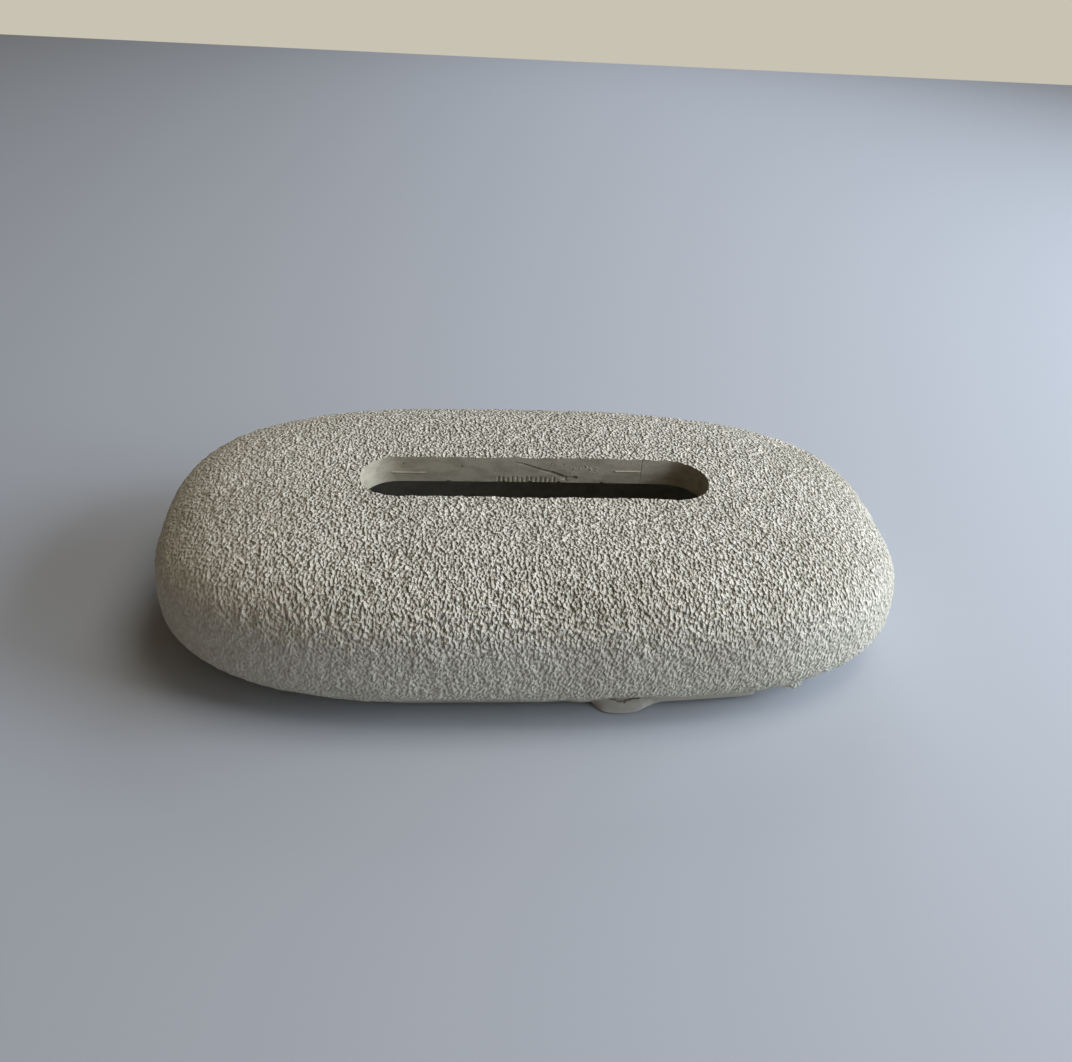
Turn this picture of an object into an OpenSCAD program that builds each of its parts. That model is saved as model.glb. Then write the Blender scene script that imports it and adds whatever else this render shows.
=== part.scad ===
// Pebble tissue box: a cast shell with a dispensing slot, closed below by a
// base board that magnets hold. Millimetres, +Z up, origin on the table under
// the middle of the box.

/* [Shell outline] */
// Length of the shell, end to end
length = 270; // [230:1:320]
// Depth of the shell, front to back
depth = 148; // [130:1:180]
// How far the widest cross-section lies left of mid-length
widest_offset = 10; // [0:1:20]
// Height of the crown above the widest line
crown_height = 34; // [28:1:50]
// Depth that the belly curve would reach if the rim did not cut it
belly_depth = 32; // [27:1:45]
// Height of the widest line above the rim
rim_drop = 20; // [16:1:24]
// Fullness of the left end in plan, where 2 is an ellipse
left_power = 2.9; // [2.4:0.1:3.4]
// Fullness of the right end in plan
right_power = 3.1; // [2.4:0.1:3.4]
// Fullness of the crown in section
crown_power = 3.6; // [2.6:0.1:4.2]
// Fullness of the belly in section
belly_power = 2.25; // [2:0.05:2.8]

/* [Shell walls] */
// Thickness of the side walls at the widest line
side_wall = 9; // [6:0.5:12]
// Thickness of the top, as seen in the slot
top_wall = 10.8; // [7:0.2:14]
// Thickness of the lip that surrounds the base board at the rim
rim_lip = 5; // [3:0.5:6]
// Width of the ledge that lands on the base board
ledge_width = 8; // [6:0.5:10]

/* [Slot] */
// Length of the dispensing slot
slot_length = 128; // [100:1:140]
// Width of the dispensing slot
slot_width = 27; // [20:1:36]
// How far the slot's middle lies right of mid-length
slot_offset = 1; // [-4:0.5:4]

/* [Casting flash] */
// Length of the tongue of flash left at the front of the rim
flash_length = 27; // [16:1:32]
// How far the tongue's thick end reaches out in front of the rim
flash_reach = 5.8; // [4:0.2:7]
// How far its thin end reaches out
flash_tail = 3.4; // [2:0.2:4]
// Height of the tongue
flash_height = 4; // [2:0.2:6]
// Gap between the tongue and the table
flash_gap = 0.5; // [0.2:0.1:1]
// How far the tongue's middle lies right of mid-length
flash_offset = 31; // [20:1:40]

/* [Base board] */
// Thickness of the base board
board_thickness = 5; // [4:0.5:7]
// Gap between the board's edge and the lip around it
board_gap = 0.6; // [0.3:0.1:1.2]
// Diameter of the finger hole that pulls the board out
finger_hole = 22; // [18:1:30]

/* [Magnets] */
// Diameter of each disc magnet
magnet_diameter = 8; // [6:0.5:9]
// Thickness of each disc magnet
magnet_thickness = 3; // [2:0.5:3]
// Glue gap around a magnet in its pocket
magnet_gap = 0.15; // [0.1:0.05:0.3]
// How far each magnet lies below the face it works through
magnet_inset = 0.2; // [0.1:0.05:0.4]
// Wall of cast material round and over each magnet in the shell
boss_wall = 2.2; // [1.6:0.2:3]
// Direction of the magnets seen from the middle, up from the long axis
magnet_angle = 30; // [20:1:40]

/* [Feet] */
// Diameter of each rubber foot
foot_diameter = 14; // [10:1:18]
// Thickness of each rubber foot
foot_thickness = 2; // [1.5:0.25:3]
// Depth of the recess that each foot is stuck into
foot_recess = 0.5; // [0.3:0.1:1]
// Gap around a foot in its recess
foot_gap = 0.2; // [0.1:0.05:0.4]
// Distance from the board's edge to the middle of a foot
foot_margin = 16; // [12:1:24]
// Direction of the feet seen from the middle, up from the long axis
foot_angle = 38; // [28:1:48]

/* [Hidden] */

// Corners in the order of the node names: the sign of X and of Y
front_right = [1, -1];
back_right = [1, 1];
back_left = [-1, 1];
front_left = [-1, -1];

// Rings of the two skins and points round each ring
outer_steps = 96;
inner_steps = 72;
belly_rings = 7;
crown_rings = 15;
// Every cut runs past the face it opens by this much
overrun = 1;

left_half = length / 2 - widest_offset;
right_half = length / 2 + widest_offset;
half_depth = depth / 2;
widest_x = -widest_offset;

rim_z = foot_thickness - foot_recess;
ledge_z = rim_z + board_thickness;
widest_z = rim_z + rim_drop;
top_z = widest_z + crown_height;

// Share of the widest plan that a belly curve has left at a given drop
function belly_share(drop, full_depth) =
    pow(1 - pow(drop / full_depth, belly_power), 1 / belly_power);

// Half sizes of the rim's outline: left, right and depth
rim_share = belly_share(rim_drop, belly_depth);
rim_halves = [left_half, right_half, half_depth] * rim_share;

function inset(halves, d) = [halves[0] - d, halves[1] - d, halves[2] - d];

board_seat = inset(rim_halves, rim_lip);
board_halves = inset(board_seat, board_gap);
ledge_halves = inset(board_seat, ledge_width);
cavity_halves = inset([left_half, right_half, half_depth], side_wall);

// The cavity's own belly curve ends on the ledge's inner edge
cavity_drop = widest_z - ledge_z;
cavity_share = ledge_halves[2] / cavity_halves[2];
cavity_belly = cavity_drop
    / pow(1 - pow(cavity_share, belly_power), 1 / belly_power);

boss_radius = magnet_diameter / 2 + magnet_gap + boss_wall;
magnet_radius = magnet_diameter / 2;
magnet_halves = inset(board_seat, boss_radius);
pocket_depth = magnet_thickness + magnet_inset;
foot_halves = inset(board_halves, foot_margin);

// A plan outline is a superellipse, with its own fullness at each end
function plan_point(angle, halves) =
    let (p = cos(angle) < 0 ? left_power : right_power,
         x_half = cos(angle) < 0 ? halves[0] : halves[1],
         k = pow(pow(abs(cos(angle)), p) + pow(abs(sin(angle)), p), -1 / p))
    [widest_x + x_half * k * cos(angle), halves[2] * k * sin(angle)];

function plan_ring(halves, steps) =
    [for (i = [0 : steps - 1]) plan_point(360 * i / steps, halves)];

// Share of the widest plan and of the full height at one step of a profile
function profile_share(angle, power) =
    let (k = pow(pow(cos(angle), power) + pow(sin(angle), power), -1 / power))
    [k * cos(angle), k * sin(angle)];

// Angle at which a belly curve reaches a given drop
function belly_end(drop, full_depth) =
    atan2(drop / full_depth, belly_share(drop, full_depth));

function belly_levels(drop, full_depth) =
    [for (i = [belly_rings : -1 : 1])
        let (s = profile_share(belly_end(drop, full_depth) * i / belly_rings,
                               belly_power))
        [s[0], widest_z - full_depth * s[1]]];

function crown_levels(height) =
    [for (i = [0 : crown_rings - 1])
        let (s = profile_share(90 * i / crown_rings, crown_power))
        [s[0], widest_z + height * s[1]]];

function at_height(ring, z) = [for (p = ring) [p[0], p[1], z]];

// One ring's points for each level, drawn in towards the widest line's middle
function skin_points(halves, levels, steps) =
    [for (level = levels)
        each at_height(plan_ring(halves * level[0], steps), level[1])];

function skin_sides(rings, steps) =
    [for (r = [0 : rings - 2], i = [0 : steps - 1])
        let (a = r * steps + i,
             b = r * steps + (i + 1) % steps)
        each [[a, a + steps, b], [b, a + steps, b + steps]]];

// A closed skin: a flat underside, the levels, and one point at the top
module skin(halves, levels, peak_z, steps) {
    rings = len(levels);
    last = (rings - 1) * steps;
    points = concat(skin_points(halves, levels, steps),
                    [[widest_x, 0, peak_z]]);
    floor_face = [[for (i = [0 : steps - 1]) i]];
    cap = [for (i = [0 : steps - 1])
        [last + (i + 1) % steps, last + i, rings * steps]];
    polyhedron(points, concat(floor_face, skin_sides(rings, steps), cap));
}

module outer_skin() {
    levels = concat(belly_levels(rim_drop, belly_depth),
                    crown_levels(crown_height));
    skin([left_half, right_half, half_depth], levels, top_z, outer_steps);
}

// The cavity starts one overrun below the ledge, inside the board's seat
module cavity() {
    foot_level = [[cavity_share, ledge_z - overrun]];
    levels = concat(foot_level, belly_levels(cavity_drop, cavity_belly),
                    crown_levels(crown_height - top_wall));
    skin(cavity_halves, levels, top_z - top_wall, inner_steps);
}

module slot_cut() {
    straight = slot_length - slot_width;
    translate([slot_offset, 0, widest_z])
        linear_extrude(crown_height + overrun) {
            square([straight, slot_width], center = true);
            for (side = [-1, 1])
                translate([side * straight / 2, 0])
                    circle(d = slot_width, $fn = 64);
        }
}

module board_seat_cut() {
    translate([0, 0, rim_z - overrun])
        linear_extrude(board_thickness + overrun)
            polygon(plan_ring(board_seat, outer_steps));
}

// Runs its children once at one corner of an outline
module at_corner(corner, halves, angle) {
    turn = corner[0] > 0 ? angle : 180 - angle;
    place = plan_point(turn, halves);
    translate([place[0], corner[1] * place[1], 0]) children();
}

module at_corners(halves, angle) {
    for (corner = [front_right, back_right, back_left, front_left])
        at_corner(corner, halves, angle) children();
}

// A low boss over one magnet, with a bevelled top
module magnet_boss() {
    boss_height = pocket_depth + boss_wall;
    translate([0, 0, ledge_z]) {
        cylinder(r = boss_radius, h = pocket_depth, $fn = 48);
        translate([0, 0, pocket_depth])
            cylinder(r1 = boss_radius, r2 = boss_radius - boss_wall,
                     h = boss_height - pocket_depth, $fn = 48);
    }
}

// A magnet's pocket opens through a face at this height
module magnet_pocket(face_z, upward) {
    start = upward ? face_z - overrun : face_z - pocket_depth;
    translate([0, 0, start])
        cylinder(r = magnet_radius + magnet_gap, h = pocket_depth + overrun,
                 $fn = 48);
}

// Tongue of flash at the front of the rim, thick at one end
module flash_tongue() {
    rim_front = plan_point(-90, rim_halves)[1];
    thick_x = flash_offset - flash_length / 2 + flash_reach;
    thin_x = flash_offset + flash_length / 2 - flash_tail;
    translate([0, rim_front, flash_gap])
        hull() {
            translate([thick_x, 0])
                cylinder(r1 = flash_reach, r2 = flash_reach / 2,
                         h = flash_height, $fn = 32);
            translate([thin_x, 0])
                cylinder(r1 = flash_tail, r2 = flash_tail / 2,
                         h = flash_height, $fn = 32);
        }
}

module cast_shell() {
    color("#b9b7ab")
    difference() {
        union() {
            difference() {
                union() {
                    outer_skin();
                    flash_tongue();
                }
                cavity();
            }
            at_corners(magnet_halves, magnet_angle) magnet_boss();
        }
        slot_cut();
        board_seat_cut();
        at_corners(magnet_halves, magnet_angle) magnet_pocket(ledge_z, true);
    }
}

module base_board() {
    color("#2b2d2b")
    difference() {
        translate([0, 0, rim_z])
            linear_extrude(board_thickness)
                polygon(plan_ring(board_halves, outer_steps));
        translate([0, 0, rim_z - overrun])
            cylinder(d = finger_hole, h = board_thickness + 2 * overrun,
                     $fn = 64);
        at_corners(magnet_halves, magnet_angle) magnet_pocket(ledge_z, false);
        at_corners(foot_halves, foot_angle)
            translate([0, 0, rim_z - overrun])
                cylinder(d = foot_diameter + 2 * foot_gap,
                         h = foot_recess + overrun, $fn = 64);
    }
}

module shell_magnet(corner) {
    color("silver")
    at_corner(corner, magnet_halves, magnet_angle)
        translate([0, 0, ledge_z + magnet_inset])
            cylinder(r = magnet_radius, h = magnet_thickness, $fn = 48);
}

module board_magnet(corner) {
    color("silver")
    at_corner(corner, magnet_halves, magnet_angle)
        translate([0, 0, ledge_z - pocket_depth])
            cylinder(r = magnet_radius, h = magnet_thickness, $fn = 48);
}

module foot(corner) {
    color("#1c1c1c")
    at_corner(corner, foot_halves, foot_angle)
        cylinder(d = foot_diameter, h = foot_thickness, $fn = 64);
}

cast_shell();
base_board();
shell_magnet(front_right);  // shell_magnet_front_right
shell_magnet(back_right);  // shell_magnet_back_right
shell_magnet(back_left);  // shell_magnet_back_left
shell_magnet(front_left);  // shell_magnet_front_left
board_magnet(front_right);  // board_magnet_front_right
board_magnet(back_right);  // board_magnet_back_right
board_magnet(back_left);  // board_magnet_back_left
board_magnet(front_left);  // board_magnet_front_left
foot(front_right);  // foot_front_right
foot(back_right);  // foot_back_right
foot(back_left);  // foot_back_left
foot(front_left);  // foot_front_left
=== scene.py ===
# Looks of the pebble tissue box: a cast stone shell with a worm-cast relief,
# a slot in its top, and a base board with magnets and rubber feet. Metres.
import logging
import math
from contextlib import contextmanager
from dataclasses import dataclass, replace
from enum import Enum
from typing import Any, Iterable, Iterator, Sequence, Union

import bmesh
import bpy
import numpy as np
from mathutils import Matrix, Vector


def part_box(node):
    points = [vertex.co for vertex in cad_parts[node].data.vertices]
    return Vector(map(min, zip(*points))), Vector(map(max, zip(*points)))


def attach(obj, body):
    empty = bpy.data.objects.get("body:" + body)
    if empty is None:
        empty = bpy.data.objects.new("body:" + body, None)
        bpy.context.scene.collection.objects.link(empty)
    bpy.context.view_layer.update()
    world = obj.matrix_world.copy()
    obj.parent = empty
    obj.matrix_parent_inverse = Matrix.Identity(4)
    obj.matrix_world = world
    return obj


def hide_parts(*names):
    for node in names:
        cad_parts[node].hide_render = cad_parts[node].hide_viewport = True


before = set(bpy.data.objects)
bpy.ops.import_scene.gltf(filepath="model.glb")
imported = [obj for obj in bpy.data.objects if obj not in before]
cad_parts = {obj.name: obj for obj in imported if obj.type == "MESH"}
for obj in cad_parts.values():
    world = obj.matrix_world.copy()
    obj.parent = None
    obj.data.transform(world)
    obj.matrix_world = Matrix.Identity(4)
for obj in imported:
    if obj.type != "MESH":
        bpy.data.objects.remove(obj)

logging.basicConfig(level=logging.INFO, format="%(message)s")
LOG = logging.getLogger("tissue_box")
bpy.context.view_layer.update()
MM = 0.001

Tree = bpy.types.NodeTree
Node = bpy.types.Node
Socket = bpy.types.NodeSocket
Source = Union[Node, Socket]
Piece = bpy.types.Object
Shape = bmesh.types.BMesh
Colour = tuple[float, float, float, float]
Pair = tuple[float, float]
Triple = tuple[float, float, float]


class Corner(Enum):
    """Corners of the box in plan, as the model's nodes write them."""

    FRONT_RIGHT = "front_right"
    BACK_RIGHT = "back_right"
    BACK_LEFT = "back_left"
    FRONT_LEFT = "front_left"


class Join(Enum):
    """How one solid meets another."""

    ADD = "UNION"
    CUT = "DIFFERENCE"


class Kind(Enum):
    """Kinds of node in the finishes, the relief and the studio."""

    BACKGROUND = "ShaderNodeBackground"
    BUMP = "ShaderNodeBump"
    CELLS = "ShaderNodeTexVoronoi"
    GIVEN = "NodeGroupInput"
    MATH = "ShaderNodeMath"
    MIX = "ShaderNodeMix"
    MIX_SHADER = "ShaderNodeMixShader"
    MOVE = "GeometryNodeSetPosition"
    NOISE = "ShaderNodeTexNoise"
    NORMAL = "GeometryNodeInputNormal"
    OUTPUT = "ShaderNodeOutputMaterial"
    PLACE = "ShaderNodeTexCoord"
    POSITION = "GeometryNodeInputPosition"
    RANGE = "ShaderNodeMapRange"
    RAYS = "ShaderNodeLightPath"
    RESULT = "NodeGroupOutput"
    SHADER = "ShaderNodeBsdfPrincipled"
    SPLIT = "ShaderNodeSeparateXYZ"
    TURN = "ShaderNodeVectorRotate"
    VECTOR = "ShaderNodeVectorMath"


# The setting of a range that starts and ends softly.
EASED = {"interpolation_type": "SMOOTHSTEP"}


def linear(hex_colour: str) -> Colour:
    """Turns an sRGB hex colour to linear.

    Args:
        hex_colour: Six hex digits.

    Returns:
        Linear red, green and blue, and an alpha of 1.
    """
    parts = [int(hex_colour[i:i + 2], 16) / 255 for i in (0, 2, 4)]
    scene = [c / 12.92 if c <= 0.04045 else ((c + 0.055) / 1.055) ** 2.4 for c in parts]
    return (scene[0], scene[1], scene[2], 1.0)


def plug(tree: Tree, socket: Socket, value: Any) -> None:
    """Feeds one input of a node.

    Args:
        tree: The tree that the node is in.
        socket: The input.
        value: A node, whose first output is linked, an output, a hex colour or
            a plain value.
    """
    if isinstance(value, Node):
        value = value.outputs[0]
    if isinstance(value, Socket):
        tree.links.new(value, socket)
    else:
        socket.default_value = linear(value) if isinstance(value, str) else value


def add(tree: Tree, kind: Kind, *values: Any, **named: Any) -> Node:
    """Adds a node with its settings and its links.

    Args:
        tree: The tree that the node goes into.
        kind: The node's kind.
        *values: What feeds its inputs, in order.
        **named: Its settings, in lower case, and what feeds its other inputs,
            by name with an underscore for a space, or by number after one.

    Returns:
        The new node.
    """
    node = tree.nodes.new(kind.value)
    inputs = dict(enumerate(values))
    for name, value in named.items():
        if name.islower():
            setattr(node, name, value)
        else:
            inputs[int(name[1:]) if name[0] == "_" else name.replace("_", " ")] = value
    for key, value in inputs.items():
        plug(tree, node.inputs[key], value)
    return node


@dataclass(frozen=True)
class WormCastRelief:
    """Relief of the shell's outside: thin ridges that wind round small pits.

    The maker stippled the master with stiff paste, so the ridges join in a net.
    The net dies away towards the smooth rim and the shaded left end. A coarser
    heave under it is in the mesh itself, and the net is drawn by the shader at
    its real size.
    """

    net_spacing: float = 1.8 * MM
    net_height: float = 0.4 * MM
    net_softness: float = 0.42
    lump_spacing: float = 1.17 * MM
    lump_height: float = 1.7 * MM
    lump_detail: float = 0.6
    warp_spacing: float = 2.0 * MM
    warp_reach: float = 0.6 * MM
    heave_spacing: float = 3.0 * MM
    heave_height: float = 0.45 * MM
    wave_spacing: float = 45 * MM
    wave_height: float = 0.5 * MM
    draw: Triple = (1.15, 0.92, 0.88)
    lean: float = -12.0
    crown_z: Pair = (26 * MM, 57 * MM)
    crown_share: Pair = (0.4, 1.15)
    left_x: Pair = (-112 * MM, -28 * MM)
    left_share: float = 0.48
    bare_z: float = 3.4 * MM
    bare_share: float = 0.06
    lump_full_z: float = 7.5 * MM
    net_full_z: float = 13.5 * MM

    def net(self, tree: Tree, place: Node) -> Node:
        """Adds the nodes of the net of ridges at a place.

        Args:
            tree: The tree that they go into.
            place: The place as the pattern reads it.

        Returns:
            From about 0 in the pits to 1 on the ridges.
        """
        warp = add(tree, Kind.NOISE, Vector=place, Scale=1 / self.warp_spacing, Detail=0.0)
        centred = add(tree, Kind.VECTOR, warp.outputs["Color"], (0.5, 0.5, 0.5),
                      operation="SUBTRACT")
        pushed = add(tree, Kind.VECTOR, centred, operation="SCALE",
                     Scale=2 * self.warp_reach)
        moved = add(tree, Kind.VECTOR, place, pushed, operation="ADD")
        level = add(tree, Kind.NOISE, Vector=moved, Scale=1 / self.net_spacing, Detail=0.0)
        side = add(tree, Kind.MATH, level, 0.5, operation="SUBTRACT")
        away = add(tree, Kind.MATH, side, operation="ABSOLUTE")
        return add(tree, Kind.RANGE, away, 0.0, self.net_softness / 2, 1.0, 0.0, **EASED)

    def drawn(self, tree: Tree, place: Socket) -> Node:
        """Adds the nodes that lean the pattern and draw it out down the sides.

        Args:
            tree: The tree that they go into.
            place: The place on the shell, in metres.

        Returns:
            The place as the pattern reads it.
        """
        leant = add(tree, Kind.TURN, Vector=place, Angle=math.radians(self.lean),
                    rotation_type="Y_AXIS")
        return add(tree, Kind.VECTOR, leant, self.draw, operation="MULTIPLY")

    def swell(self, tree: Tree, place: Source, spacing: float, height: float,
              detail: float) -> Node:
        """Adds the nodes of lumps that rise and fall by the same height.

        Args:
            tree: The tree that they go into.
            place: The place that they read.
            spacing: The distance from lump to lump.
            height: How far they rise and fall.
            detail: How many finer layers of lumps they carry.

        Returns:
            The height of the lumps, in metres.
        """
        noise = add(tree, Kind.NOISE, Vector=place, Scale=1 / spacing, Detail=detail)
        return add(tree, Kind.MATH, noise, 2 * height, -height, operation="MULTIPLY_ADD")

    def kept(self, tree: Tree, place: Socket, full_z: float) -> Node:
        """Adds the nodes that say how much of a relief a place keeps.

        Args:
            tree: The tree that they go into.
            place: The place on the shell, in metres.
            full_z: The height over the table from which it keeps all.

        Returns:
            From next to none at the bare rim to 1 higher up.
        """
        apart = add(tree, Kind.SPLIT, place)
        return add(tree, Kind.RANGE, apart.outputs[2], self.bare_z, full_z,
                   self.bare_share, 1.0, **EASED)

    def height(self, tree: Tree, place: Socket) -> Node:
        """Adds the nodes that give the fine relief's height at a place.

        Args:
            tree: The material's tree.
            place: The place on the shell, in metres.

        Returns:
            The height, in metres.
        """
        drawn = self.drawn(tree, place)
        ridges = add(tree, Kind.MATH, self.net(tree, drawn), self.net_height,
                     operation="MULTIPLY")
        ridges = add(tree, Kind.MATH, ridges, self.kept(tree, place, self.net_full_z),
                     operation="MULTIPLY")
        lumps = self.swell(tree, drawn, self.lump_spacing, self.lump_height,
                           self.lump_detail)
        lumps = add(tree, Kind.MATH, lumps, self.kept(tree, place, self.lump_full_z),
                    operation="MULTIPLY")
        relief = add(tree, Kind.MATH, ridges, lumps, operation="ADD")
        apart = add(tree, Kind.SPLIT, place)
        crown = add(tree, Kind.RANGE, apart.outputs[2], *self.crown_z, *self.crown_share,
                    **EASED)
        left = add(tree, Kind.RANGE, apart.outputs[0], *self.left_x, self.left_share, 1.0,
                   **EASED)
        for share in (crown, left):
            relief = add(tree, Kind.MATH, relief, share, operation="MULTIPLY")
        return relief

    def heave(self, tree: Tree, place: Node) -> Node:
        """Adds the nodes of the unevenness that is in the mesh: coarse lumps
        under the net, and the slow waves of a surface shaped by hand.

        Args:
            tree: The geometry tree.
            place: The place on the shell, in metres.

        Returns:
            The height, in metres.
        """
        lumps = self.swell(tree, place, self.heave_spacing, self.heave_height, 0.0)
        waves = self.swell(tree, place, self.wave_spacing, self.wave_height, 1.0)
        return add(tree, Kind.MATH, lumps, self.kept(tree, place, self.net_full_z), waves,
                   operation="MULTIPLY_ADD")


RELIEF = WormCastRelief()


@dataclass(frozen=True)
class Patches:
    """Soft uneven patches of a second colour."""

    colour: str
    spacing: float
    levels: Pair
    share: float
    detail: float
    roughness: float = 0.5
    blend: str = "MIX"

    def over(self, tree: Tree, place: Source, colour: Any) -> Socket:
        """Adds the nodes that lay the patches over a colour.

        Args:
            tree: The material's tree.
            place: The place that they read.
            colour: The colour under them.

        Returns:
            The colour with the patches.
        """
        noise = add(tree, Kind.NOISE, Vector=place, Scale=1 / self.spacing,
                    Detail=self.detail, Roughness=self.roughness)
        share = add(tree, Kind.RANGE, noise, *self.levels, 0.0, self.share, **EASED)
        return add(tree, Kind.MIX, share, _6=colour, _7=self.colour, data_type="RGBA",
                   blend_type=self.blend).outputs[2]


CLOUDS = Patches("B9B3A2", 55 * MM, (0.45, 0.75), 0.35, detail=3.0, blend="MULTIPLY")
PULL_MARKS = Patches("A29B88", 3.5 * MM, (0.4, 0.65), 0.8, detail=4.0)
SCUFFS = Patches("474946", 14 * MM, (0.55, 0.8), 0.5, detail=6.0, roughness=0.7)


@dataclass(frozen=True)
class Finish:
    """A finish: a base colour, a roughness and what its nodes add to them."""

    name: str
    colour: str
    roughness: float = 0.8
    specular: float = 0.35
    bump: float = 1.0

    def build(self) -> bpy.types.Material:
        """Makes the material, or gives the one that was made before.

        Returns:
            The material.
        """
        made = bpy.data.materials.get(self.name)
        if made:
            return made
        material = bpy.data.materials.new(self.name)
        material.use_nodes = True
        material.diffuse_color = linear(self.colour)
        tree = material.node_tree
        tree.nodes.clear()
        shader = add(tree, Kind.SHADER, Base_Color=self.colour, Roughness=self.roughness,
                     Specular_IOR_Level=self.specular)
        looks = self.dress(tree, add(tree, Kind.PLACE).outputs["Object"])
        if "Height" in looks:
            looks["Normal"] = add(tree, Kind.BUMP, Strength=self.bump, Distance=1.0,
                                  Height=looks.pop("Height"))
        for name, value in looks.items():
            plug(tree, shader.inputs[name], value)
        add(tree, Kind.OUTPUT, Surface=shader)
        return material

    def dress(self, tree: Tree, place: Socket) -> dict[str, Any]:
        """Adds the finish's own nodes.

        Args:
            tree: The material's tree.
            place: Object coordinates, in metres.

        Returns:
            What feeds the shader's inputs, by name, and the bump's Height.
        """
        return {}


@dataclass(frozen=True)
class StippledCastStone(Finish):
    """Fine cement cast in a mould of a stippled master, unsealed: matt, with
    painted shade in the pits and painted light on the ridge tops, standing in for
    the relief's own self-shadowing, and slow clouds of damp and dry. Its sand is
    drawn at 0.4 mm so that it shows."""

    shaded_pit_colour: str = "9D9B8B"
    lit_ridge_colour: str = "DDD8CA"
    shade_tone_height: float = 0.6 * MM
    clouds: Patches = CLOUDS
    sand_width: float = 0.4 * MM
    sand_height: float = 0.05 * MM

    def dress(self, tree: Tree, place: Socket) -> dict[str, Any]:
        """Adds relief, sand grain, and colour with painted shade in the pits and
        painted light on the ridge tops.

        Args:
            tree: The material's tree.
            place: Object coordinates, in metres.

        Returns:
            The height and the base colour.
        """
        relief = RELIEF.height(tree, place)
        sand = add(tree, Kind.NOISE, Vector=place, Scale=1 / self.sand_width, Detail=2.0)
        height = add(tree, Kind.MATH, sand, self.sand_height, relief,
                     operation="MULTIPLY_ADD")
        # Painted shade and light: pits darker and ridge tops paler by the relief's height,
        # in place of its self-shadowing.
        level = add(tree, Kind.RANGE, relief, -self.shade_tone_height, self.shade_tone_height, **EASED)
        stone = add(tree, Kind.MIX, level, _6=self.shaded_pit_colour, _7=self.lit_ridge_colour,
                    data_type="RGBA").outputs[2]
        return {"Height": height, "Base Color": self.clouds.over(tree, place, stone)}


@dataclass(frozen=True)
class SmoothCastStone(Finish):
    """The same cement cast against smooth board: even, with faint pull marks
    and a few pinholes left by air."""

    bump: float = 0.8
    marks: Patches = PULL_MARKS
    mark_draw: Triple = (0.45, 1.0, 1.0)
    grain_spacing: float = 1.1 * MM
    grain_height: float = 0.12 * MM
    hole_spacing: float = 5 * MM
    hole_edge: Pair = (0.03, 0.08)
    hole_depth: float = 0.1 * MM

    def dress(self, tree: Tree, place: Socket) -> dict[str, Any]:
        """Adds pull marks, pinholes and a fine grain.

        Args:
            tree: The material's tree.
            place: Object coordinates, in metres.

        Returns:
            The height and the base colour.
        """
        drawn = add(tree, Kind.VECTOR, place, self.mark_draw, operation="MULTIPLY")
        holes = add(tree, Kind.CELLS, Vector=place, Scale=1 / self.hole_spacing)
        depth = add(tree, Kind.RANGE, holes, *self.hole_edge, -self.hole_depth, 0.0,
                    **EASED)
        fine = add(tree, Kind.NOISE, Vector=place, Scale=1 / self.grain_spacing,
                   Detail=3.0)
        height = add(tree, Kind.MATH, fine, self.grain_height, depth,
                     operation="MULTIPLY_ADD")
        return {"Height": height, "Base Color": self.marks.over(tree, drawn, self.colour)}


@dataclass(frozen=True)
class GrainedSheet(Finish):
    """Sheet plastic or rubber pressed with a fine leathery grain, drawn at half
    a millimetre so that it shows."""

    bump: float = 0.7
    grain_width: float = 0.5 * MM
    grain_height: float = 0.04 * MM
    scuffs: Patches = SCUFFS

    def dress(self, tree: Tree, place: Socket) -> dict[str, Any]:
        """Adds the pressed grain and light scuffs.

        Args:
            tree: The material's tree.
            place: Object coordinates, in metres.

        Returns:
            The height and the base colour.
        """
        grain = add(tree, Kind.CELLS, Vector=place, Scale=1 / self.grain_width,
                    feature="SMOOTH_F1")
        height = add(tree, Kind.MATH, grain, self.grain_height, operation="MULTIPLY")
        return {"Height": height, "Base Color": self.scuffs.over(tree, place, self.colour)}


@dataclass(frozen=True)
class NickelPlate(Finish):
    """Nickel plate on a pressed magnet: bright, with a faint turned haze, drawn
    at 0.3 mm so that it shows."""

    haze_width: float = 0.3 * MM
    haze_levels: Pair = (0.3, 0.7)
    haze_roughness: float = 0.15

    def dress(self, tree: Tree, place: Socket) -> dict[str, Any]:
        """Makes the shader a metal with a slightly uneven gloss.

        Args:
            tree: The material's tree.
            place: Object coordinates, in metres.

        Returns:
            The metallic share and the roughness.
        """
        haze = add(tree, Kind.NOISE, Vector=place, Scale=1 / self.haze_width, Detail=2.0)
        gloss = add(tree, Kind.RANGE, haze, *self.haze_levels, self.roughness,
                    self.roughness + self.haze_roughness, **EASED)
        return {"Metallic": 1.0, "Roughness": gloss}


@dataclass(frozen=True)
class PaperFloor(Finish):
    """Plain pale studio paper, matt, with a faint fibre, drawn at 2 mm so that it
    shows."""

    bump: float = 0.4
    fibre_width: float = 2 * MM
    fibre_height: float = 0.03 * MM

    def dress(self, tree: Tree, place: Socket) -> dict[str, Any]:
        """Adds the fibre.

        Args:
            tree: The material's tree.
            place: Object coordinates, in metres.

        Returns:
            The height.
        """
        fibre = add(tree, Kind.NOISE, Vector=place, Scale=1 / self.fibre_width, Detail=4.0)
        return {"Height": add(tree, Kind.MATH, fibre, self.fibre_height,
                              operation="MULTIPLY")}
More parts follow.
